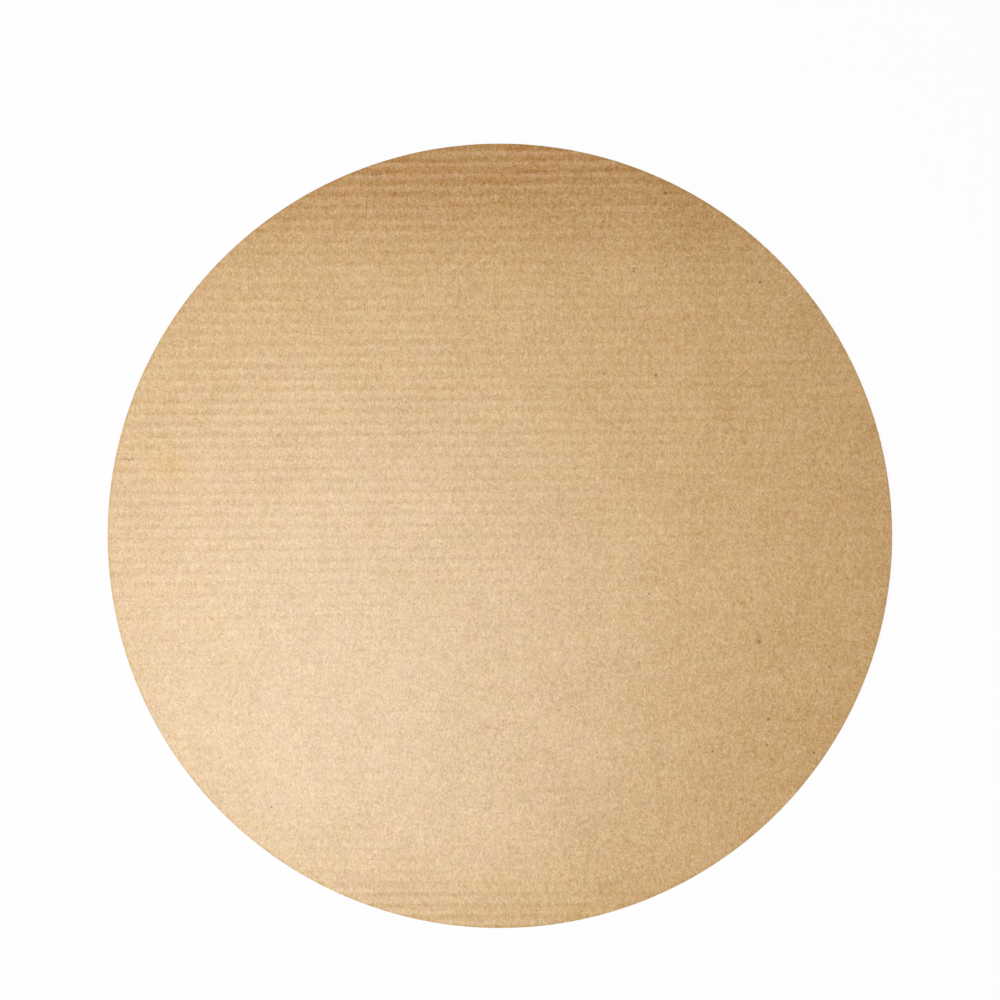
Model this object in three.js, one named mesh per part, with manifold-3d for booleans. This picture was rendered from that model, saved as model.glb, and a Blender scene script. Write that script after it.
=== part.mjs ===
// A round cake board, die-cut from single-wall corrugated board.
// Units are millimetres and +Z is up. The origin is the centre of the underside. The flutes run along X.
// The board is one glued sheet, so it is one solid: a flat liner above and below, a wavy medium between
// them, and an open tunnel on each side of every wave. The tunnels come out at the cut rim.
import * as THREE from "three";
import { mergeVertices } from "three/addons/utils/BufferGeometryUtils.js";
import Module from "manifold-3d";

// The disc, and the corrugated board that it is cut from.
const BOARD_DIAMETER = 228.6;
const FLUTE_PITCH = 3.32;
const FIRST_TIP = -0.64; // where the flute tip nearest the centre meets the top liner, along Y
const FLUTE_HEIGHT = 1.16; // between the inner faces of the two liners
const LINER_THICKNESS = 0.22;
const MEDIUM_THICKNESS = 0.18;
const GLUE_LINE_WIDTH = 0.6; // where a flute tip is stuck to a liner
const TIP_PRESS = 0.02; // how far a flute tip is pressed into the glue
const WASHBOARD_DEPTH = 0.06; // how far a liner sags between two glue lines

// How finely the curves are stepped, and how near two corners lie to count as one.
const SAG_STEPS = 3;
const WAVE_STEPS = 7;
const RIM_FACETS = 120;
const SAME_POINT = 1e-4;

const CALIPER = FLUTE_HEIGHT + 2 * LINER_THICKNESS;
const MID_HEIGHT = CALIPER / 2;
const FREE_SPAN = FLUTE_PITCH - GLUE_LINE_WIDTH;
const WAVE_AMPLITUDE = (FLUTE_HEIGHT - MEDIUM_THICKNESS) / 2 + TIP_PRESS;
const FLUTES_EACH_SIDE = Math.ceil(BOARD_DIAMETER / 2 / FLUTE_PITCH) + 1;

const wasm = await Module();
wasm.setup();

// A closed three.js geometry as a solid that can be joined and cut.
function solidFrom(geometry) {
  const bare = geometry.clone().deleteAttribute("normal").deleteAttribute("uv");
  const merged = mergeVertices(bare, SAME_POINT);
  return new wasm.Manifold(
    new wasm.Mesh({
      numProp: 3,
      vertProperties: merged.attributes.position.array,
      triVerts: new Uint32Array(merged.index.array),
    }),
  );
}

// The three.js geometry of a solid.
function geometryFrom(solid) {
  const { vertProperties, triVerts } = solid.getMesh();
  return new THREE.BufferGeometry()
    .setAttribute("position", new THREE.BufferAttribute(vertProperties, 3))
    .setIndex(new THREE.BufferAttribute(triVerts, 1));
}

// Evenly spaced numbers from one value to another, both included.
function steps(from, to, count) {
  return Array.from({ length: count + 1 }, (_, i) => from + ((to - from) * i) / count);
}

// How far a liner has sagged at a distance from the middle of the span between two glue lines.
function sagAt(offset) {
  return WASHBOARD_DEPTH * Math.max(0, 1 - (offset / (FREE_SPAN / 2)) ** 2);
}

// The free span of a liner between two glue lines, as points [y, depth below the liner's highest level].
function sagPoints(middle) {
  return steps(-FREE_SPAN / 2, FREE_SPAN / 2, SAG_STEPS).map((offset) => [middle + offset, sagAt(offset)]);
}

// The face of the medium towards one liner across one wave, as points [y, height above the middle of the
// board], from glue line to glue line. It lies half the medium's thickness off a cosine, square to it.
function wavePoints(middle) {
  const turn = (2 * Math.PI) / FLUTE_PITCH;
  return steps(-FREE_SPAN / 2, FREE_SPAN / 2, WAVE_STEPS).map((offset) => {
    const slope = WAVE_AMPLITUDE * turn * Math.sin(turn * offset);
    const rise = MEDIUM_THICKNESS / 2 / Math.hypot(1, slope);
    return [middle + offset - slope * rise, -WAVE_AMPLITUDE * Math.cos(turn * offset) + rise];
  });
}

// The tunnel under a liner's free span. side is 1 under the top liner and -1 over the bottom one.
function tunnel(middle, side) {
  const linerFace = sagPoints(middle).map(([y, depth]) => [y, FLUTE_HEIGHT / 2 - depth]);
  const mediumFace = wavePoints(middle).reverse();
  const loop = [...linerFace, ...mediumFace];
  return new THREE.Path(loop.map(([y, height]) => new THREE.Vector2(y, MID_HEIGHT + side * height)));
}

// The section of the corrugated board across its flutes, a little wider than the disc.
function boardSection() {
  const reach = FLUTES_EACH_SIDE * FLUTE_PITCH;
  const lastTop = reach - FLUTE_PITCH;
  const lastBottom = reach - FLUTE_PITCH / 2;
  const topSpans = steps(-lastTop, lastTop, 2 * FLUTES_EACH_SIDE - 2);
  const bottomSpans = steps(-lastBottom, lastBottom, 2 * FLUTES_EACH_SIDE - 1);
  const underside = bottomSpans.flatMap(sagPoints).map(([y, depth]) => new THREE.Vector2(y, depth));
  const topside = topSpans.flatMap(sagPoints).map(([y, depth]) => new THREE.Vector2(y, CALIPER - depth));
  const rightEnd = [new THREE.Vector2(reach, 0), new THREE.Vector2(reach, CALIPER)];
  const leftEnd = [new THREE.Vector2(-reach, CALIPER), new THREE.Vector2(-reach, 0)];
  const section = new THREE.Shape([...underside, ...rightEnd, ...topside.reverse(), ...leftEnd]);
  section.holes = [
    ...topSpans.map((middle) => tunnel(middle, 1)),
    ...bottomSpans.map((middle) => tunnel(middle, -1)),
  ];
  return section;
}

// The corrugated sheet: its section run along X, from end to end past the disc. The section is drawn with
// a top tunnel in the middle, so it is moved across until the flute tip beside it lies at FIRST_TIP.
function corrugatedSheet() {
  const length = BOARD_DIAMETER + 2 * FLUTE_PITCH;
  const sheet = new THREE.ExtrudeGeometry(boardSection(), { depth: length, bevelEnabled: false });
  sheet.translate(FIRST_TIP + FLUTE_PITCH / 2, 0, -length / 2);
  const acrossToY = new THREE.Matrix4().makeBasis(
    new THREE.Vector3(0, 1, 0),
    new THREE.Vector3(0, 0, 1),
    new THREE.Vector3(1, 0, 0),
  );
  return solidFrom(sheet.applyMatrix4(acrossToY));
}

// The round cutting die, as a solid that reaches past the sheet above and below.
function cuttingDie() {
  const radius = BOARD_DIAMETER / 2;
  const die = new THREE.CylinderGeometry(radius, radius, CALIPER + 2 * FLUTE_PITCH, RIM_FACETS);
  return solidFrom(die.rotateX(Math.PI / 2).translate(0, 0, MID_HEIGHT));
}

const kraftBoard = new THREE.MeshStandardMaterial({ color: 0xd9b483, roughness: 0.85, metalness: 0 });

const board = new THREE.Mesh(geometryFrom(corrugatedSheet().intersect(cuttingDie())), kraftBoard);
board.name = "board";

const cakeBoard = new THREE.Group();
cakeBoard.add(board);

export default cakeBoard;
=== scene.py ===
"""A round cake board, die-cut from single-wall corrugated kraft board, lying on a white table."""

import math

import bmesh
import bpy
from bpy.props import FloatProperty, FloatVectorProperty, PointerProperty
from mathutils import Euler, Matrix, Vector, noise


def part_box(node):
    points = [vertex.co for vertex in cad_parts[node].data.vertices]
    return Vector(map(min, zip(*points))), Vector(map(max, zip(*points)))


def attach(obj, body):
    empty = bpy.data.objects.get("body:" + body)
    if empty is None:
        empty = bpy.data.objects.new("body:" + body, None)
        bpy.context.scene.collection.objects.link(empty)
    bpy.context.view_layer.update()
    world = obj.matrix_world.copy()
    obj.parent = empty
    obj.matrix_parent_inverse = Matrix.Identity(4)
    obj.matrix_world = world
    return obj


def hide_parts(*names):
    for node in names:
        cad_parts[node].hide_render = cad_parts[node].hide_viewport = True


bl_info = {
    "name": "Cake board",
    "version": (1, 0, 0),
    "blender": (4, 5, 0),
    "location": "3D View > Sidebar > Cake board",
    "description": "Makes a round corrugated cake board with its paper finishes, and a white stage for it",
    "category": "Object",
}

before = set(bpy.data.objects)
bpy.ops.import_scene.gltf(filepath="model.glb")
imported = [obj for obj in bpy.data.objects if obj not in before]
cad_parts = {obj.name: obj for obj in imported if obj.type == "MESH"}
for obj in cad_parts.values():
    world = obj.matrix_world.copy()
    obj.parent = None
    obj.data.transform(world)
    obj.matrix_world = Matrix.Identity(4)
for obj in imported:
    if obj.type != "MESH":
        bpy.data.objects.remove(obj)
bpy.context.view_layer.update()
BOARD_LOW, BOARD_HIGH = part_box("board")

MM = 0.001

# Where the disc lies in the photograph, in its pixels.
PHOTO_WIDTH_PX = 1000
DISC_CENTRE_PX = (499.9, 535.8)
DISC_RADIUS_PX = 392.3
CAMERA_ROLL = math.radians(-0.5)  # the flutes rise a little to the right in it

# How finely the board is drawn. The rim steps are distances in from the cut edge.
COLUMNS_PER_FLUTE = 12
RIM_STEPS = (0.02 * MM, 0.12 * MM, 0.35 * MM, 0.8 * MM)
SPANS_ALONG_FLUTES = 13
POLE_SHARE = 0.2  # how much of a short chord each rim step may take
SHARP_ANGLE = math.radians(40)
SAME_POINT = 0.001 * MM

# The six faces of the paper, numbered from the underside up.
UNDERSIDE, BOTTOM_INNER, MEDIUM_LOWER, MEDIUM_UPPER, TOP_INNER, TOPSIDE = range(6)

# The finishes of the board's faces, in the order of its material slots.
LINER, FLUTING, CUT = range(3)

# The map that the board's look can be baked on, in shares of its width. Each paper face is a disc there,
# with its middle and its radius, and the cut edge is a strip. The topside gets the most room.
BAKE_MAP = "OFBake"
MAP_DISCS = {
    TOPSIDE: (0.375, 0.625, 0.37),
    UNDERSIDE: (0.795, 0.22, 0.2),
    BOTTOM_INNER: (0.08, 0.1, 0.07),
    MEDIUM_LOWER: (0.225, 0.1, 0.07),
    MEDIUM_UPPER: (0.37, 0.1, 0.07),
    TOP_INNER: (0.515, 0.1, 0.07),
}
MAP_STRIP_LEFT, MAP_STRIP_RIGHT = 0.005, 0.995
MAP_STRIP_LOW, MAP_STRIP_HIGH = 0.004, 0.016
STRIP_START, STRIP_END = math.radians(-92), math.radians(272)

# How deep the top liner's washboard is, as a share of the usual depth: what is added to 1 between two
# distances across the flutes, and what is added towards the right in the upper half of the disc.
WASHBOARD_CHANGES = (
    (-0.45, 30 * MM, 62 * MM),
    (0.25, 80 * MM, 90 * MM),
    (1.4, 98 * MM, 105 * MM),
    (-0.6, -40 * MM, -75 * MM),
    (1.0, -99 * MM, -106 * MM),
)
RIGHTWARD_CHANGE = 0.5
RIGHTWARD_ALONG, RIGHTWARD_ACROSS = (-20 * MM, 80 * MM), (0, 40 * MM)

# How uneven the board is: the washboard of each flute and of each region, the line of the flutes, and the
# crushed rim. Each drift changes over its lengths in X and Y, and its seed gives one steady pattern.
FLUTE_UNEVENNESS, FLUTE_DRIFT, FLUTE_SEED = 0.35, (60 * MM, MM), 1.7
REGION_UNEVENNESS, REGION_DRIFT, REGION_SEED = 0.2, (35 * MM, 25 * MM), 3.7
FLUTE_WANDER, WANDER_DRIFT, WANDER_SEED = 0.14 * MM, (55 * MM, 30 * MM), 5.3
STRAIGHT_RIM = 6 * MM  # over which the flutes' wander dies out towards the cut edge
CRUSH_UNEVENNESS, CRUSH_DRIFT, CRUSH_SEED = 0.5, (9 * MM, MM), 11
CRUSH_LEVEL = 0.35  # the share of the thickness at which the crushed rim stays where it is

# The liner's texture: sizes in millimetres and turns in radians. The fineness is how strong each finer
# layer of a noise is, and the bend is how far a noise is pulled about.
CLOUD_SIZE = 24
BLOTCH_SIZE = 4.5
MOTTLE_SIZE = 6
FORMATION_SIZE, FORMATION_FINENESS = 1.5, 0.6
GRAIN_SIZE, GRAIN_FINENESS = 0.36, 0.7
GRAIN_STRETCH = 0.7  # what Y is multiplied by, so that the grain is a little longer across the flutes
STROKE_WIDTH, STROKE_LENGTH, STROKE_BEND = 0.42, 1.6, 0.8
STROKE_TURNS = (0, 0.3, -0.5, 1.2)
CURL_SIZE, CURL_SHARPNESS, CURL_BEND = 1.8, 10, 0.5
STREAK_LENGTH, STREAK_WIDTH = 16, 1.1
COCKLE_LENGTH, COCKLE_WIDTH = 7, 2

# How strongly each layer lightens or darkens the liner. The streaks are stronger near the top.
CLOUD_TONE, BLOTCH_TONE, FORMATION_TONE = 0.16, 0.1, 0.28
GRAIN_TONE, STROKE_TONE, CURL_TONE = 0.95, 0.33, 0.05
STREAK_TONE, STREAK_TONE_AT_TOP = 0.05, 0.2

# How high each layer stands on the liner, in millimetres, and how much the formation changes its roughness.
COCKLE_HEIGHT, GRAIN_HEIGHT, STROKE_HEIGHT, FORMATION_HEIGHT = 0.06, 0.006, 0.003, 0.006
ROUGHNESS_SWING = 0.2

# How far like patterns are shifted, in their own units, so that they don't lie on each other.
BLOTCH_SHIFT = (19, 23, 0)
STROKE_SHIFT = (31, 17, 5)
PALE_CURL_SHIFT, DARK_CURL_SHIFT = (11, 3, 8), (47, 29, 2)

# What each mottle multiplies the colour by at its two ends. The key is how far its pattern is shifted.
MOTTLE_TINTS = {
    (40, 70, 0): ((0.962, 1.0, 0.891), (1.038, 1.0, 1.109)),
    (90, 20, 0): ((0.976, 1.0, 1.071), (1.024, 1.0, 0.929)),
}

# The small random specks: how far apart they may lie in millimetres, what share of them is drawn, and
# where a speck fades out and in, as shares of that distance.
SPECK_SPACING, SPECK_SHARE, SPECK_STRENGTH = 6, 0.3, 0.5
SPECK_EDGE, SPECK_CORE = 0.09, 0.02

# The flecks that stand out, as places in the photograph in its pixels, and their radius in millimetres.
FLECKS = (
    (759, 641.5, 0.6),
    (656, 375, 0.33),
    (768.5, 719, 0.42),
    (665.3, 193, 0.4),
    (760, 282, 0.42),
    (712.5, 751.5, 0.28),
    (767, 745, 0.28),
    (814, 753, 0.24),
    (829.5, 666.5, 0.24),
    (649, 593.7, 0.24),
    (633.8, 268.5, 0.28),
    (633.8, 271.5, 0.24),
    (483.8, 183.4, 0.28),
    (395.8, 193.6, 0.24),
    (372.5, 175, 0.28),
    (376.5, 174.5, 0.4),
    (380, 174, 0.24),
    (606, 169.5, 0.28),
    (611, 170, 0.28),
    (603.3, 221.3, 0.2),
    (271.5, 807, 0.2),
    (126, 459, 0.1),
    (129, 460, 0.15),
    (132, 459, 0.1),
)
FLECK_BLUR = 0.35  # how much further out than its radius a fleck fades away
FLECK_STRENGTH = 0.8

# Where the liner's tone changes, in millimetres from the middle of the disc: a painted sheen at the lower
# left, patches of painted shade at the lower right, bands of painted shade along the top and bottom rims,
# and a faint stain at the left.
PAINTED_SHEEN_PLACE, PAINTED_SHEEN_REACH = (-49, -48), 159
PAINTED_SHADE_PLACES = (((70, -68), 64, 1), ((26, -98), 36, 0.8))  # with their reach and share of the painted shade
STAINED_PLACE, STAINED_REACH = (-96, 22), 10
TOP_SHADE_FROM, TOP_SHADE_TO = 70, 113
BOTTOM_SHADE_FROM, BOTTOM_SHADE_TO = -90, -116

# The two other papers: the size of their grain in millimetres, and their darkest shade as a share.
FLUTING_GRAIN, FLUTING_DARKEST, FLUTING_ROUGHNESS = 0.6, 0.7, 0.85
FLUTING_SHADE_LOW, FLUTING_SHADE_SPAN = 0.25, 0.5
CUT_GRAIN, CUT_DARKEST, CUT_ROUGHNESS = 0.25, 0.75, 0.9

NOISE_MIDDLE = 0.5  # what a noise texture gives on average
WHITE = (1, 1, 1, 1)

# The stage, in metres. The camera's sensor is in millimetres, as its lens is.
TABLE_HALF_WIDTH = 0.9
TABLE_GAP = 0.05 * MM  # how far the table lies below the board
KEY_PLACE = Vector((-120 * MM, -60 * MM, 414 * MM))
KEY_TARGET = Vector((-60 * MM, -50 * MM, 0))
KEY_SIZE = 186 * MM
SENSOR_WIDTH = 36


def smooth_step(low, high, value):
    """0 below low, 1 above high, and a smooth ramp between them."""
    share = min(max((value - low) / (high - low), 0), 1)
    return share * share * (3 - 2 * share)


def drift(x, y, scale, seed):
    """A smooth random number from about -1 to 1 that changes over the given distances."""
    return noise.noise(Vector((x / scale[0], y / scale[1], seed)))


def place_in_photo(across, down):
    """Where a pixel of the photograph lies on the board, as X and Y."""
    scale = (BOARD_HIGH.x - BOARD_LOW.x) / 2 / DISC_RADIUS_PX
    aside = (across - DISC_CENTRE_PX[0]) * scale
    upward = (DISC_CENTRE_PX[1] - down) * scale
    return Matrix.Rotation(CAMERA_ROLL, 2) @ Vector((aside, upward))


class BoardSizes(bpy.types.PropertyGroup):
    radius: FloatProperty(
        name="Radius",
        description="Radius of the cut disc",
        default=(BOARD_HIGH.x - BOARD_LOW.x) / 2,
        unit="LENGTH",
    )
    caliper: FloatProperty(
        name="Caliper",
        description="Thickness of the corrugated board",
        default=BOARD_HIGH.z - BOARD_LOW.z,
        unit="LENGTH",
    )
    flute_pitch: FloatProperty(
        name="Flute pitch",
        description="Distance from one flute tip to the next",
        default=3.32 * MM,
        unit="LENGTH",
    )
    first_tip: FloatProperty(
        name="First tip",
        description="Where the top flute tip nearest the centre lies",
        default=-0.64 * MM,
        unit="LENGTH",
    )
    liner: FloatProperty(
        name="Liner",
        description="Thickness of each flat liner",
        default=0.22 * MM,
        unit="LENGTH",
    )
    medium: FloatProperty(
        name="Medium",
        description="Thickness of the wavy paper between the liners",
        default=0.18 * MM,
        unit="LENGTH",
    )
    tip_press: FloatProperty(
        name="Tip press",
        description="How far a flute tip is pressed into the glue",
        default=0.02 * MM,
        unit="LENGTH",
    )
    glue_line: FloatProperty(
        name="Glue line",
        description="Width over which a flute tip is stuck to a liner",
        default=0.6 * MM,
        unit="LENGTH",
    )
    washboard: FloatProperty(
        name="Washboard",
        description="How far a liner sags between two glue lines",
        default=0.08 * MM,
        unit="LENGTH",
    )
    edge_crush: FloatProperty(
        name="Edge crush",
        description="Share of its thickness that the board loses at the cut edge",
        default=0.12,
        subtype="FACTOR",
    )
    crush_width: FloatProperty(
        name="Crush width",
        description="How far in from the cut edge the board is crushed",
        default=0.8 * MM,
        unit="LENGTH",
    )


class PaperFinish(bpy.types.PropertyGroup):
    kraft: FloatVectorProperty(
        name="Kraft",
        description="Colour of the liners",
        default=(0.69, 0.422, 0.175),
        subtype="COLOR",
    )
    # Painted sheen: the liner is paled towards this colour in a wide round patch at the lower left, where
    # the lamp's sheen falls.
    painted_sheen: FloatVectorProperty(
        name="Painted sheen",
        description="Colour that the liner has faded towards in a wide round patch",
        default=(1.0, 1.0, 0.84),
        subtype="COLOR",
    )
    painted_sheen_share: FloatProperty(
        name="Painted sheen share",
        description="How far the middle of the patch has faded",
        default=0.192,
        subtype="FACTOR",
    )
    # Painted shade: a darker, browner band along the rim at the top.
    top_painted_shade: FloatVectorProperty(
        name="Top tint",
        description="What the liner's colour is multiplied by at the rim at the top",
        default=(0.787, 0.663, 0.483),
        subtype="COLOR",
    )
    # Painted shade: a slightly darker band along the rim at the bottom.
    bottom_painted_shade: FloatVectorProperty(
        name="Bottom tint",
        description="What the liner's colour is multiplied by at the rim at the bottom",
        default=(0.925, 0.89, 0.78),
        subtype="COLOR",
    )
    # Painted shade: the colour is darkened in round patches at the lower right.
    shade: FloatVectorProperty(
        name="Shade",
        description="What the liner's colour is multiplied by in slightly darker patches at the lower right",
        default=(0.945, 0.93, 0.89),
        subtype="COLOR",
    )
    stain: FloatVectorProperty(
        name="Stain",
        description="What the liner's colour is multiplied by in a faint yellow stain at the left",
        default=(1.0, 0.96, 0.84),
        subtype="COLOR",
    )
    fibre: FloatVectorProperty(
        name="Fibre",
        description="Light that a pale fibre adds to the liner's colour, and that a dark one takes away",
        default=(0.66, 0.605, 0.43),
        subtype="COLOR",
    )
    fleck: FloatVectorProperty(
        name="Fleck",
        description="Colour of the bark flecks",
        default=(0.13, 0.04, 0.0),
        subtype="COLOR",
    )
    fluting: FloatVectorProperty(
        name="Fluting",
        description="Colour of the wavy paper and of the liners' inner faces",
        default=(0.58, 0.41, 0.24),
        subtype="COLOR",
    )
    cut: FloatVectorProperty(
        name="Cut edge",
        description="Colour of the paper where it is cut",
        default=(0.76, 0.55, 0.34),
        subtype="COLOR",
    )
    roughness: FloatProperty(
        name="Roughness",
        description="Roughness of the liners",
        default=0.5,
        subtype="FACTOR",
    )
    shine: FloatProperty(
        name="Shine",
        description="Specular level of the machine-smoothed liners",
        default=0.69,
        subtype="FACTOR",
    )


class StageLook(bpy.types.PropertyGroup):
    whiteness: FloatProperty(
        name="Whiteness",
        description="How much of the table's look is plain white, and not its own light and shadow",
        default=0.965,
        subtype="FACTOR",
    )
    table: FloatVectorProperty(
        name="Table",
        description="Colour of the table",
        default=(0.8, 0.8, 0.8),
        subtype="COLOR",
    )
    key_power: FloatProperty(
        name="Key power",
        description="Power of the soft lamp at the lower left",
        default=1.22,
        unit="POWER",
    )
    key_colour: FloatVectorProperty(
        name="Key colour",
        description="Colour of the soft lamp",
        default=(1.0, 1.0, 1.0),
        subtype="COLOR",
    )
    fill_strength: FloatProperty(
        name="Fill strength",
        description="Strength of the even light from the room",
        default=0.28,
    )
    lens: FloatProperty(
        name="Lens",
        description="Focal length of the camera",
        default=150,
        unit="CAMERA",
    )


def across_flutes(sizes):
    """Where the section's columns lie across the flutes, closer together near the two poles of the disc."""
    step = sizes.flute_pitch / COLUMNS_PER_FLUTE
    rim = [sizes.radius - inset for inset in RIM_STEPS]
    last = rim[-1] - step / 2
    first_step = math.ceil((-last - sizes.first_tip) / step)
    last_step = math.floor((last - sizes.first_tip) / step)
    inner = [sizes.first_tip + step * i for i in range(first_step, last_step + 1)]
    return [-y for y in rim] + inner + rim[::-1]


def along_flutes(sizes, y):
    """Where the section's copies lie along the flutes at a distance y across them, from rim to rim."""
    chord = math.sqrt(sizes.radius**2 - y**2)
    rim = [
        chord * (1 - min(sizes.radius * inset / chord**2, POLE_SHARE * i))
        for i, inset in enumerate(RIM_STEPS)
    ]
    rim[0] = chord
    inner = [rim[-1] * (2 * i / SPANS_ALONG_FLUTES - 1) for i in range(1, SPANS_ALONG_FLUTES)]
    return [-x for x in rim] + inner + rim[::-1]


def washboard_depth(sizes, x, y, flute):
    """How deep the top liner sags at a place: it was pressed unevenly, so each flute and region differs."""
    share = 1
    for change, start, end in WASHBOARD_CHANGES:
        share += change * smooth_step(start, end, y)
    to_the_right = smooth_step(*RIGHTWARD_ALONG, x) * smooth_step(*RIGHTWARD_ACROSS, y)
    rightward = 1 + RIGHTWARD_CHANGE * to_the_right
    flute_drift = FLUTE_UNEVENNESS * drift(x, 0, FLUTE_DRIFT, FLUTE_SEED * flute)
    region_drift = REGION_UNEVENNESS * drift(x, y, REGION_DRIFT, REGION_SEED)
    return sizes.washboard * share * rightward * (1 + flute_drift + region_drift)


def sag(sizes, from_tip, depth):
    """How far a liner has sagged at a distance from the flute tip that carries it."""
    half_span = (sizes.flute_pitch - sizes.glue_line) / 2
    from_middle = sizes.flute_pitch / 2 - from_tip
    return depth * max(0, 1 - (from_middle / half_span) ** 2)


def height_of(sizes, face, x, y):
    """Height of one of the six paper faces at a place on the disc."""
    turns = (y - sizes.first_tip) / sizes.flute_pitch
    from_top_tip = abs(turns - round(turns)) * sizes.flute_pitch
    from_bottom_tip = sizes.flute_pitch / 2 - from_top_tip
    if face in (UNDERSIDE, BOTTOM_INNER) or (
        face == MEDIUM_LOWER and from_bottom_tip < sizes.glue_line / 2
    ):
        underside = sag(sizes, from_bottom_tip, sizes.washboard)
        return underside if face == UNDERSIDE else underside + sizes.liner
    if face in (TOPSIDE, TOP_INNER) or (
        face == MEDIUM_UPPER and from_top_tip < sizes.glue_line / 2
    ):
        depth = washboard_depth(sizes, x, y, round(turns))
        topside = sizes.caliper - sag(sizes, from_top_tip, depth)
        return topside if face == TOPSIDE else topside - sizes.liner
    amplitude = sizes.caliper / 2 - sizes.liner - sizes.medium / 2 + sizes.tip_press
    turn = 2 * math.pi / sizes.flute_pitch
    middle = sizes.caliper / 2 + amplitude * math.cos(turn * from_top_tip)
    slope = amplitude * turn * math.sin(turn * from_top_tip)
    rise = sizes.medium / 2 * math.hypot(1, slope)
    return middle - rise if face == MEDIUM_LOWER else middle + rise


def section(bm, sizes, columns):
    """Draws the board's section across its flutes: a grid without the tunnels above and below the medium."""
    rows = TOPSIDE - UNDERSIDE
    half = 0.5
    bmesh.ops.create_grid(bm, x_segments=len(columns) - 1, y_segments=rows, size=half)
    face_of = bm.verts.layers.int.new("paper_face")
    for vert in bm.verts:
        vert[face_of] = round((vert.co.y + half) * rows)
        y = columns[round((vert.co.x + half) * (len(columns) - 1))]
        vert.co = (0, y, height_of(sizes, vert[face_of], 0, y))
    tunnels = [
        face
        for face in bm.faces
        if {vert[face_of] for vert in face.verts}
        in ({BOTTOM_INNER, MEDIUM_LOWER}, {MEDIUM_UPPER, TOP_INNER})
    ]
    bmesh.ops.delete(bm, geom=tunnels, context="FACES")
    bmesh.ops.remove_doubles(bm, verts=bm.verts[:], dist=SAME_POINT)
    return face_of


def run_along_flutes(bm, copies):
    """Runs the section along X, one unit for each copy of it."""
    end = bm.faces[:]
    for copy in range(1, copies):
        extruded = bmesh.ops.extrude_face_region(bm, geom=end)["geom"]
        if copy > 1:
            bmesh.ops.delete(bm, geom=end, context="FACES")
        end = [item for item in extruded if isinstance(item, bmesh.types.BMFace)]
        moved = [item for item in extruded if isinstance(item, bmesh.types.BMVert)]
        bmesh.ops.translate(bm, verts=moved, vec=(1, 0, 0))


def give_finishes(bm, face_of, last_copy, last_column):
    """Tells the cut faces, the outer faces of the liners and the faces inside the flutes apart."""
    for face in bm.faces:
        face.smooth = True
        ends = {round(vert.co.x) for vert in face.verts}
        papers = {vert[face_of] for vert in face.verts}
        at_end = ends in ({0}, {last_copy})
        at_pole = all(abs(vert.co.y) > last_column - SAME_POINT for vert in face.verts)
        if at_end or at_pole:
            face.material_index = CUT
        elif papers in ({UNDERSIDE}, {TOPSIDE}):
            face.material_index = LINER
        else:
            face.material_index = FLUTING


def place_on_disc(bm, sizes, face_of, columns):
    """Moves each point of the long section to its place on the disc."""
    places = {y: along_flutes(sizes, y) for y in columns}
    nearest = {round(y / SAME_POINT): y for y in columns}
    still_height = sizes.caliper * CRUSH_LEVEL
    for vert in bm.verts:
        y = nearest[round(vert.co.y / SAME_POINT)]
        x = places[y][round(vert.co.x)]
        from_rim = max(0, sizes.radius - math.hypot(x, y))
        height = height_of(sizes, vert[face_of], x, y)
        around = math.atan2(y, x) * sizes.radius
        uneven = 1 + CRUSH_UNEVENNESS * drift(around, 0, CRUSH_DRIFT, CRUSH_SEED)
        crush = sizes.edge_crush * uneven * max(0, 1 - from_rim / sizes.crush_width) ** 2
        wander = FLUTE_WANDER * drift(x, y, WANDER_DRIFT, WANDER_SEED)
        wander *= smooth_step(0, STRAIGHT_RIM, from_rim)
        vert.co = (x, y + wander, still_height + (height - still_height) * (1 - crush))


def place_on_strip(sizes, place, on_left):
    """Where a point of the cut edge lies on the map's strip. The strip starts and ends at the lower pole."""
    angle = math.atan2(place.y, place.x)
    if on_left:
        angle %= 2 * math.pi
    along = (angle - STRIP_START) / (STRIP_END - STRIP_START)
    upward = place.z / sizes.caliper
    return (
        MAP_STRIP_LEFT + along * (MAP_STRIP_RIGHT - MAP_STRIP_LEFT),
        MAP_STRIP_LOW + upward * (MAP_STRIP_HIGH - MAP_STRIP_LOW),
    )


def lay_out_map(bm, sizes, face_of):
    """Gives each face its place on the map for a bake. The underside lies there as seen from below."""
    on_map = bm.loops.layers.uv.new(BAKE_MAP)
    for face in bm.faces:
        paper = min(vert[face_of] for vert in face.verts)
        right, up, radius = MAP_DISCS[paper]
        on_left = face.calc_center_median().x < 0
        for loop in face.loops:
            place = loop.vert.co
            if face.material_index == CUT:
                loop[on_map].uv = place_on_strip(sizes, place, on_left)
            else:
                share = radius / sizes.radius
                seen_x = -place.x if paper == UNDERSIDE else place.x
                loop[on_map].uv = (right + share * seen_x, up + share * place.y)


def board_mesh(sizes):
    """The whole board as one closed mesh."""
    columns = across_flutes(sizes)
    copies = len(along_flutes(sizes, 0))
    bm = bmesh.new()
    face_of = section(bm, sizes, columns)
    run_along_flutes(bm, copies)
    give_finishes(bm, face_of, copies - 1, columns[-1])
    place_on_disc(bm, sizes, face_of, columns)
    lay_out_map(bm, sizes, face_of)
    bmesh.ops.recalc_face_normals(bm, faces=bm.faces[:])
    for edge in bm.edges:
        edge.smooth = edge.calc_face_angle(math.pi) < SHARP_ANGLE
    mesh = bpy.data.meshes.new("corrugated_board")
    bm.to_mesh(mesh)
    bm.free()
    return mesh


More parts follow.
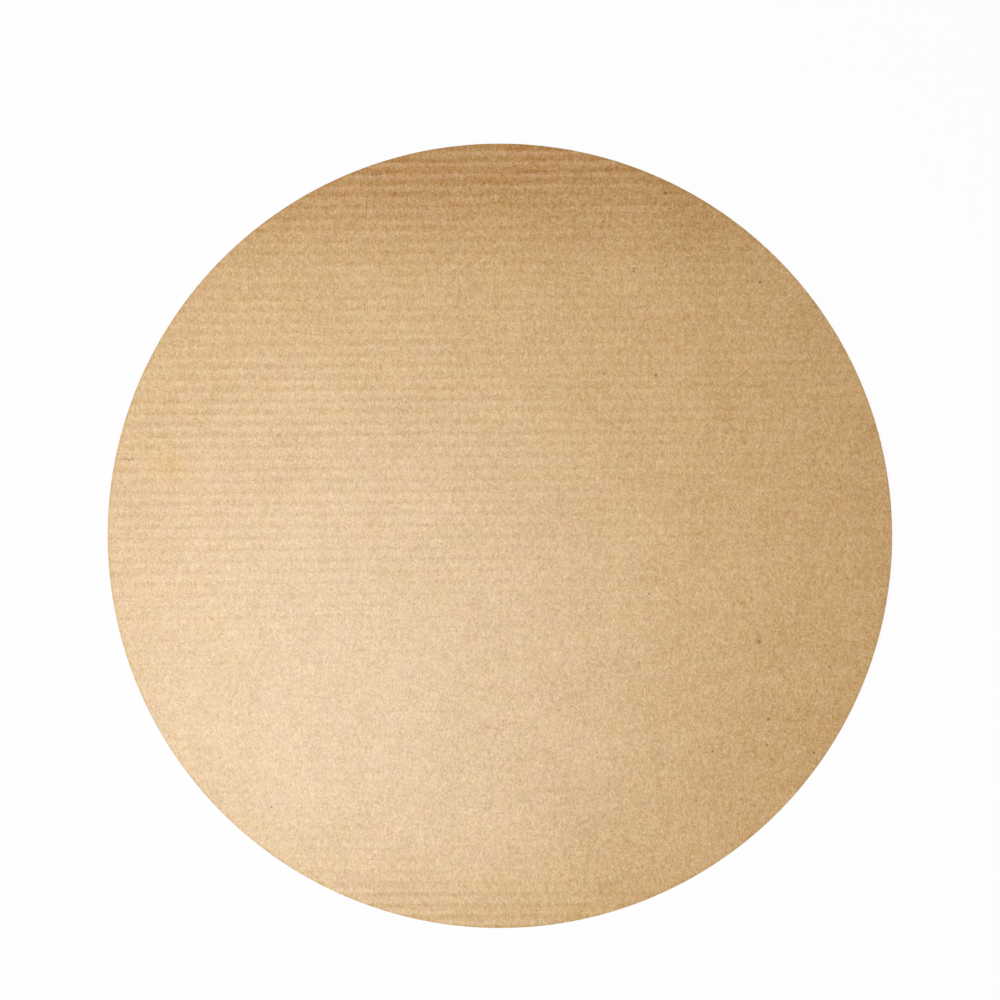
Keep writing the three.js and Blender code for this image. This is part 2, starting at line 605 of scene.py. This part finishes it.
class Wire:
    """A socket that gives a value, which Python's arithmetic can be written on."""

    def __init__(self, wiring, socket):
        self.wiring = wiring
        self.socket = socket

    def maths(self, operation, *others, clamp=False):
        """One Math node on this value and others."""
        values = dict(enumerate((self, *others)))
        settings = {"operation": operation, "use_clamp": clamp}
        return self.wiring.node("ShaderNodeMath", settings, values)

    def __add__(self, other):
        return self.maths("ADD", other)

    __radd__ = __add__

    def __mul__(self, other):
        return self.maths("MULTIPLY", other)

    __rmul__ = __mul__

    def __sub__(self, other):
        return self.maths("SUBTRACT", other)

    def __rsub__(self, other):
        return (self * -1) + other

    def clamped(self):
        """The value, kept from 0 to 1."""
        return self.maths("ADD", 0, clamp=True)

    def ramp(self, low, high):
        """0 where the value is low, 1 where it is high, and smooth between. low may be the larger."""
        settings = {"interpolation_type": "SMOOTHSTEP"}
        values = {"Value": self, "From Min": low, "From Max": high}
        return self.wiring.node("ShaderNodeMapRange", settings, values)


class Wiring:
    """The node tree of a material or of the world."""

    MIX_FACTOR, MIX_A, MIX_B, MIX_RESULT = 0, 6, 7, 2

    def __init__(self, owner):
        owner.use_nodes = True
        self.tree = owner.node_tree
        self.tree.nodes.clear()

    def node(self, kind, settings=None, sockets=None, output=0):
        """Makes a node, sets it up, fills or links its sockets, and gives one of its outputs."""
        node = self.tree.nodes.new(kind)
        for name, value in (settings or {}).items():
            setattr(node, name, value)
        for name, value in (sockets or {}).items():
            if isinstance(value, Wire):
                self.tree.links.new(value.socket, node.inputs[name])
            else:
                node.inputs[name].default_value = value
        return Wire(self, node.outputs[output])

    def mix(self, factor, first, second, blend="MIX"):
        """A colour between two colours, which may be plain numbers or wires."""
        settings = {"data_type": "RGBA", "blend_type": blend, "clamp_factor": True}
        sockets = {self.MIX_FACTOR: factor}
        for name, value in ((self.MIX_A, first), (self.MIX_B, second)):
            sockets[name] = value if isinstance(value, Wire) else (*value, 1)
        return self.node("ShaderNodeMix", settings, sockets, self.MIX_RESULT)

    def millimetres(self, turn=0, scale=(1, 1, 1), shift=(0, 0, 0)):
        """The place on the piece in millimetres, turned about Z, then squeezed by scale and shifted."""
        place = self.node("ShaderNodeTexCoord", output="Object")
        turned = self.node(
            "ShaderNodeMapping",
            {"vector_type": "TEXTURE"},
            {"Vector": place, "Rotation": Euler((0, 0, turn)), "Scale": (MM, MM, MM)},
        )
        return self.node(
            "ShaderNodeMapping",
            {"vector_type": "POINT"},
            {"Vector": turned, "Location": shift, "Scale": scale},
        )

    def noise(self, where, scale=1, detail=0, roughness=0.5, distortion=0):
        """Noise as a value from 0 to 1, in pieces about as large as 1 / scale."""
        sockets = {
            "Vector": where,
            "Scale": scale,
            "Detail": detail,
            "Roughness": roughness,
            "Distortion": distortion,
        }
        return self.node("ShaderNodeTexNoise", {"noise_dimensions": "3D"}, sockets)

    def swing(self, where, scale=1, **settings):
        """Noise as a value around 0."""
        return self.noise(where, scale, **settings) - NOISE_MIDDLE

    def surface(self, shader, kind="ShaderNodeOutputMaterial"):
        """Makes the shader the one that is seen."""
        output = self.tree.nodes.new(kind)
        self.tree.links.new(shader.socket, output.inputs["Surface"])


def strokes(wiring, turn, shift):
    """Short fibres lying in about one direction, as a value around 0."""
    where = wiring.millimetres(turn, (1 / STROKE_WIDTH, 1 / STROKE_LENGTH, 1), shift)
    return wiring.swing(where, detail=1, distortion=STROKE_BEND)


def curls(wiring, size, shift):
    """Thin curling fibres, as a value from 0 to 1."""
    wave = wiring.swing(wiring.millimetres(shift=shift), 1 / size, detail=1, distortion=CURL_BEND)
    return (1 - wave.maths("ABSOLUTE") * CURL_SHARPNESS).clamped()


def patch(wiring, where, place, inner, outer):
    """1 within one distance of a place on the top liner and 0 beyond another, all in millimetres."""
    sockets = {0: where, 1: (*place, BOARD_HIGH.z / MM)}
    away = wiring.node("ShaderNodeVectorMath", {"operation": "DISTANCE"}, sockets, "Value")
    return away.ramp(outer, inner)


def flecks(wiring):
    """Dark flecks of bark, as a value from 0 to 1: those that stand out, and small faint specks."""
    where = wiring.millimetres()
    large = 0
    for across, down, radius in FLECKS:
        place = [part / MM for part in place_in_photo(across, down)]
        large = patch(wiring, where, place, 0, radius + FLECK_BLUR) + large
    cells = wiring.millimetres(scale=(1 / SPECK_SPACING,) * 3)
    away, kind = (
        wiring.node("ShaderNodeTexVoronoi", {"feature": "F1"}, {"Vector": cells, "Scale": 1}, output)
        for output in ("Distance", "Color")
    )
    specks = away.ramp(SPECK_EDGE, SPECK_CORE) * kind.ramp(1 - SPECK_SHARE, 1)
    return (large * FLECK_STRENGTH + specks * SPECK_STRENGTH).clamped()


def kraft_liner(finish):
    """Brown machine-finished liner paper: mottled, with a fine grain of fibres and a few bark flecks. Its
    colour also holds a painted sheen at the lower left, and painted shade at the lower right and along the
    top and bottom rims.
    """
    material = bpy.data.materials.new("kraft_liner")
    wiring = Wiring(material)
    where = wiring.millimetres()
    clouds = wiring.swing(where, 1 / CLOUD_SIZE, detail=2)
    blotches = wiring.swing(wiring.millimetres(shift=BLOTCH_SHIFT), 1 / BLOTCH_SIZE, detail=1)
    formation = wiring.swing(where, 1 / FORMATION_SIZE, detail=3, roughness=FORMATION_FINENESS)
    stretched = wiring.millimetres(scale=(1, GRAIN_STRETCH, 1))
    grain = wiring.swing(stretched, 1 / GRAIN_SIZE, detail=2, roughness=GRAIN_FINENESS)
    lying = sum(
        strokes(wiring, turn, [part * i for part in STROKE_SHIFT]) for i, turn in enumerate(STROKE_TURNS)
    )
    pale_curls = curls(wiring, CURL_SIZE, PALE_CURL_SHIFT)
    dark_curls = curls(wiring, CURL_SIZE, DARK_CURL_SHIFT)
    streaks = wiring.swing(wiring.millimetres(scale=(1 / STREAK_LENGTH, 1 / STREAK_WIDTH, 1)), detail=1)
    cockle = wiring.noise(wiring.millimetres(scale=(1 / COCKLE_LENGTH, 1 / COCKLE_WIDTH, 1)), detail=1)
    across = wiring.node("ShaderNodeSeparateXYZ", None, {"Vector": where}, "Y")
    # The band along the top rim, where shade is painted and the streaks are stronger.
    near_top = across.ramp(TOP_SHADE_FROM, TOP_SHADE_TO)
    near_bottom = across.ramp(BOTTOM_SHADE_FROM, BOTTOM_SHADE_TO)
    tone = (
        clouds * CLOUD_TONE
        + blotches * BLOTCH_TONE
        + formation * FORMATION_TONE
        + grain * GRAIN_TONE
        + lying * STROKE_TONE
        + (pale_curls - dark_curls) * CURL_TONE
        + streaks * (near_top * STREAK_TONE_AT_TOP + STREAK_TONE)
    )
    # Painted sheen: a wide pale round patch at the lower left.
    painted_sheen = patch(wiring, where, PAINTED_SHEEN_PLACE, 0, PAINTED_SHEEN_REACH) * finish.painted_sheen_share
    paper = wiring.mix(painted_sheen, finish.kraft, finish.painted_sheen)
    # Painted shade along the rim at the top.
    paper = wiring.mix(near_top, paper, finish.top_painted_shade, "MULTIPLY")
    # Painted shade along the rim at the bottom.
    paper = wiring.mix(near_bottom, paper, finish.bottom_painted_shade, "MULTIPLY")
    # Painted shade in round patches at the lower right.
    for place, reach, share in PAINTED_SHADE_PLACES:
        painted_shade_mask = patch(wiring, where, place, 0, reach) * share
        paper = wiring.mix(painted_shade_mask, paper, finish.shade, "MULTIPLY")
    stained = patch(wiring, where, STAINED_PLACE, 0, STAINED_REACH)
    paper = wiring.mix(stained, paper, finish.stain, "MULTIPLY")
    for shift, (first, second) in MOTTLE_TINTS.items():
        mottle = wiring.noise(wiring.millimetres(shift=shift), 1 / MOTTLE_SIZE, detail=1)
        paper = wiring.mix(1, paper, wiring.mix(mottle, first, second), "MULTIPLY")
    grey_grain = wiring.mix(1, tone, finish.fibre, "MULTIPLY")
    paper = wiring.mix(1, paper, grey_grain, "ADD")
    colour = wiring.mix(flecks(wiring), paper, finish.fleck)
    height = (
        cockle * COCKLE_HEIGHT
        + grain * GRAIN_HEIGHT
        + lying * STROKE_HEIGHT
        + formation * FORMATION_HEIGHT
    )
    bump = wiring.node("ShaderNodeBump", None, {"Height": height, "Distance": MM, "Strength": 1})
    sockets = {
        "Base Color": colour,
        "Roughness": formation * ROUGHNESS_SWING + finish.roughness,
        "Normal": bump,
        "Specular IOR Level": finish.shine,
    }
    wiring.surface(wiring.node("ShaderNodeBsdfPrincipled", None, sockets))
    return material


def fluting_paper(finish):
    """The duller paper inside the flutes."""
    material = bpy.data.materials.new("fluting_paper")
    wiring = Wiring(material)
    grain = wiring.noise(wiring.millimetres(), 1 / FLUTING_GRAIN, detail=3)
    shade = (grain * FLUTING_SHADE_SPAN + FLUTING_SHADE_LOW).clamped()
    darkest = [FLUTING_DARKEST * part for part in finish.fluting]
    colour = wiring.mix(shade, darkest, finish.fluting)
    sockets = {"Base Color": colour, "Roughness": FLUTING_ROUGHNESS}
    wiring.surface(wiring.node("ShaderNodeBsdfPrincipled", None, sockets))
    return material


def cut_paper(finish):
    """The torn fibres of a die-cut edge."""
    material = bpy.data.materials.new("cut_paper")
    wiring = Wiring(material)
    grain = wiring.noise(wiring.millimetres(), 1 / CUT_GRAIN, detail=2)
    darkest = [CUT_DARKEST * part for part in finish.cut]
    sockets = {"Base Color": wiring.mix(grain, darkest, finish.cut), "Roughness": CUT_ROUGHNESS}
    wiring.surface(wiring.node("ShaderNodeBsdfPrincipled", None, sockets))
    return material


def seen_directly(wiring):
    """1 for what the camera sees, also in reflections, and 0 for the light that falls on the board."""
    rays = [
        wiring.node("ShaderNodeLightPath", output=name)
        for name in ("Is Camera Ray", "Is Glossy Ray", "Is Transmission Ray")
    ]
    return (rays[0] + rays[1] + rays[2]).clamped()


class MakeBoard(bpy.types.Operator):
    """Makes the corrugated board, in place of the plain solid"""

    bl_idname = "cake_board.make_board"
    bl_label = "Make the board"

    def execute(self, context):
        scene = context.scene
        mesh = board_mesh(scene.board_sizes)
        for make in (kraft_liner, fluting_paper, cut_paper):
            mesh.materials.append(make(scene.paper_finish))
        board = bpy.data.objects.new("corrugated_board", mesh)
        scene.collection.objects.link(board)
        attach(board, "root")
        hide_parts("board")
        return {"FINISHED"}


class SetStage(bpy.types.Operator):
    """Sets the white table, the lamps and the camera above the board"""

    bl_idname = "cake_board.set_stage"
    bl_label = "Set the stage"

    def execute(self, context):
        scene = context.scene
        look = scene.stage_look
        sizes = scene.board_sizes
        add_table(scene, look)
        add_room_light(scene, look)
        add_key_lamp(scene, look)
        add_camera(scene, look, sizes)
        scene.view_settings.view_transform = "Standard"
        return {"FINISHED"}


def add_table(scene, look):
    """The table shows almost plain white to the camera, and lights the board as pale paint does."""
    bm = bmesh.new()
    bmesh.ops.create_grid(bm, x_segments=1, y_segments=1, size=TABLE_HALF_WIDTH)
    bmesh.ops.translate(bm, verts=bm.verts[:], vec=(0, 0, -TABLE_GAP))
    mesh = bpy.data.meshes.new("table")
    bm.to_mesh(mesh)
    bm.free()
    material = bpy.data.materials.new("white_table")
    wiring = Wiring(material)
    lit = wiring.node("ShaderNodeBsdfDiffuse", None, {"Color": (*look.table, 1)})
    glow = wiring.node("ShaderNodeEmission", None, {"Color": WHITE, "Strength": 1})
    factor = seen_directly(wiring) * look.whiteness
    wiring.surface(wiring.node("ShaderNodeMixShader", None, {0: factor, 1: lit, 2: glow}))
    mesh.materials.append(material)
    table = bpy.data.objects.new("table", mesh)
    scene.collection.objects.link(table)


def add_room_light(scene, look):
    """The room shows white behind the board, and lights it evenly and less strongly."""
    world = bpy.data.worlds.new("room")
    scene.world = world
    wiring = Wiring(world)
    strength = seen_directly(wiring) * (1 - look.fill_strength) + look.fill_strength
    wiring.surface(
        wiring.node("ShaderNodeBackground", None, {"Color": WHITE, "Strength": strength}),
        "ShaderNodeOutputWorld",
    )


def add_key_lamp(scene, look):
    """The soft round lamp above the left side, which makes the lower left the brightest."""
    lamp = bpy.data.lights.new("key_lamp", "AREA")
    lamp.shape = "DISK"
    lamp.size = KEY_SIZE
    lamp.energy = look.key_power
    lamp.color = look.key_colour
    piece = bpy.data.objects.new("key_lamp", lamp)
    piece.location = KEY_PLACE
    piece.rotation_euler = (KEY_TARGET - KEY_PLACE).to_track_quat("-Z", "Y").to_euler()
    scene.collection.objects.link(piece)


def add_camera(scene, look, sizes):
    """The camera looks straight down from where the disc fills as much of the frame as in the photograph."""
    metres_per_pixel = sizes.radius / DISC_RADIUS_PX
    distance = look.lens / SENSOR_WIDTH * PHOTO_WIDTH_PX * metres_per_pixel
    middle = place_in_photo(PHOTO_WIDTH_PX / 2, PHOTO_WIDTH_PX / 2)
    camera_data = bpy.data.cameras.new("camera")
    camera_data.lens = look.lens
    camera_data.sensor_width = SENSOR_WIDTH
    camera = bpy.data.objects.new("camera", camera_data)
    camera.location = (*middle, sizes.caliper + distance)
    camera.rotation_euler = (0, 0, CAMERA_ROLL)
    scene.collection.objects.link(camera)
    scene.camera = camera


class BoardPanel(bpy.types.Panel):
    """Lists the steps and the sizes"""

    bl_idname = "VIEW3D_PT_cake_board"
    bl_label = "Cake board"
    bl_space_type = "VIEW_3D"
    bl_region_type = "UI"
    bl_category = "Cake board"

    def draw(self, context):
        for maker in (MakeBoard, SetStage):
            self.layout.operator(maker.bl_idname)
        for group in ("board_sizes", "paper_finish", "stage_look"):
            settings = getattr(context.scene, group)
            box = self.layout.box()
            for name in settings.__annotations__:
                box.prop(settings, name)


CLASSES = (BoardSizes, PaperFinish, StageLook, MakeBoard, SetStage, BoardPanel)


def register():
    for made in CLASSES:
        bpy.utils.register_class(made)
    bpy.types.Scene.board_sizes = PointerProperty(type=BoardSizes)
    bpy.types.Scene.paper_finish = PointerProperty(type=PaperFinish)
    bpy.types.Scene.stage_look = PointerProperty(type=StageLook)


def unregister():
    for name in ("board_sizes", "paper_finish", "stage_look"):
        delattr(bpy.types.Scene, name)
    for made in reversed(CLASSES):
        bpy.utils.unregister_class(made)


def main():
    register()
    bpy.ops.cake_board.make_board()
    bpy.ops.cake_board.set_stage()


if __name__ == "__main__":
    main()
